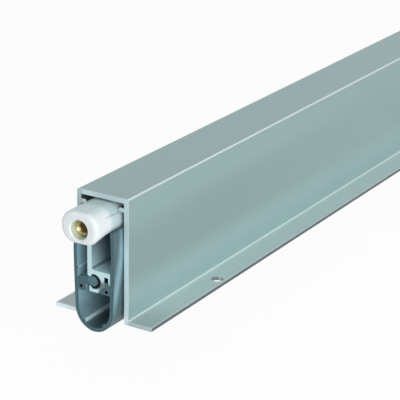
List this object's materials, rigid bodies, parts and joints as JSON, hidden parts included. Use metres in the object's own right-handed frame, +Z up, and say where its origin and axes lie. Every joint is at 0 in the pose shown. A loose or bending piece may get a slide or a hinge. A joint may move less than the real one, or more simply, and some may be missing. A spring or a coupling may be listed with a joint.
{
  "type": "drop-down door bottom seal",
  "caption": "Flanged aluminium channel for a door's lower edge: pressing the end plunger swings levers that lower a rubber seal on its carrier.",
  "frame": {"origin": "mid length and mid width of the seating plane, which is the top face of the two flanges and the centre of the outer screw holes", "axes": "+X along the seal away from the plunger, +Z up into the door, +Y to the left seen from the plunger"},
  "size_m": [0.8467, 0.029, 0.035],
  "materials": {
    "housing_aluminium": "satin anodised",
    "carrier_aluminium": "mill finish",
    "block_nylon": "moulded nylon",
    "pin_steel": "bright",
    "strip_steel": "zinc plated",
    "spring_steel": "bright drawn",
    "rivet_aluminium": "satin",
    "seal_rubber": "matt blue grey",
    "plunger_plastic": "moulded white",
    "adjuster_brass": "turned"
  },
  "bodies": {
    "housing": {"housing": "housing_aluminium", "front_guide": "block_nylon", "anchor_front": "block_nylon", "anchor_rear": "block_nylon", "anchor_pins": "pin_steel", "housing_rivets": "rivet_aluminium", "return_spring": "spring_steel"},
    "rod": {"push_rod": "strip_steel", "rod_pins": "pin_steel", "rod_head": "block_nylon", "head_rivet": "pin_steel"},
    "adjuster": {"adjuster": "adjuster_brass"},
    "plunger": {"plunger": "plunger_plastic"},
    "lever_front": {"lever_front": "strip_steel"},
    "lever_rear": {"lever_rear": "strip_steel"},
    "link_front": {"link_front": "strip_steel"},
    "link_rear": {"link_rear": "strip_steel"},
    "carrier": {"carrier": "carrier_aluminium", "seal": "seal_rubber", "shoe_front": "strip_steel", "shoe_rear": "strip_steel"}
  },
  "joints": [
    {"name": "rod_slide", "type": "slide", "parent": "housing", "child": "rod", "axis": [1, 0, 0], "range_m": [0, 0.00508], "stiffness_N_per_m": 2500, "springref_m": -0.004, "deforming": ["return_spring"]},
    {"name": "adjuster_turn", "type": "hinge", "parent": "rod", "child": "adjuster", "pos_m": [-0.401, 0, 0.0258], "axis": [1, 0, 0], "range_deg": [0, 1440.1]},
    {"name": "plunger_reach", "type": "slide", "parent": "rod", "child": "plunger", "axis": [-1, 0, 0], "range_m": [0, 0.0032]},
    {"name": "seal_drop", "type": "slide", "parent": "housing", "child": "carrier", "axis": [0, 0, -1], "range_m": [0, 0.011]},
    {"name": "lever_swing_front", "type": "hinge", "parent": "rod", "child": "lever_front", "pos_m": [-0.23941, 0, 0.0258], "axis": [0, 1, 0], "range_deg": [0, 20.53]},
    {"name": "link_swing_front", "type": "hinge", "parent": "housing", "child": "link_front", "pos_m": [-0.2065, 0, 0.0258], "axis": [0, -1, 0], "range_deg": [0, 20.53]},
    {"name": "lever_swing_rear", "type": "hinge", "parent": "rod", "child": "lever_rear", "pos_m": [0.17359, 0, 0.0258], "axis": [0, 1, 0], "range_deg": [0, 20.53]},
    {"name": "link_swing_rear", "type": "hinge", "parent": "housing", "child": "link_rear", "pos_m": [0.2065, 0, 0.0258], "axis": [0, -1, 0], "range_deg": [0, 20.53]}
  ],
  "couplings": [
    {"joint": "adjuster_turn", "follows": "plunger_reach", "rad_per_m": 7854},
    {"joint": "seal_drop", "follows": "rod_slide", "ratio": 2.1648},
    {"joint": "lever_swing_front", "follows": "rod_slide", "rad_per_m": 70.512},
    {"joint": "link_swing_front", "follows": "rod_slide", "rad_per_m": 70.512},
    {"joint": "lever_swing_rear", "follows": "rod_slide", "rad_per_m": 70.512},
    {"joint": "link_swing_rear", "follows": "rod_slide", "rad_per_m": 70.512}
  ]
}
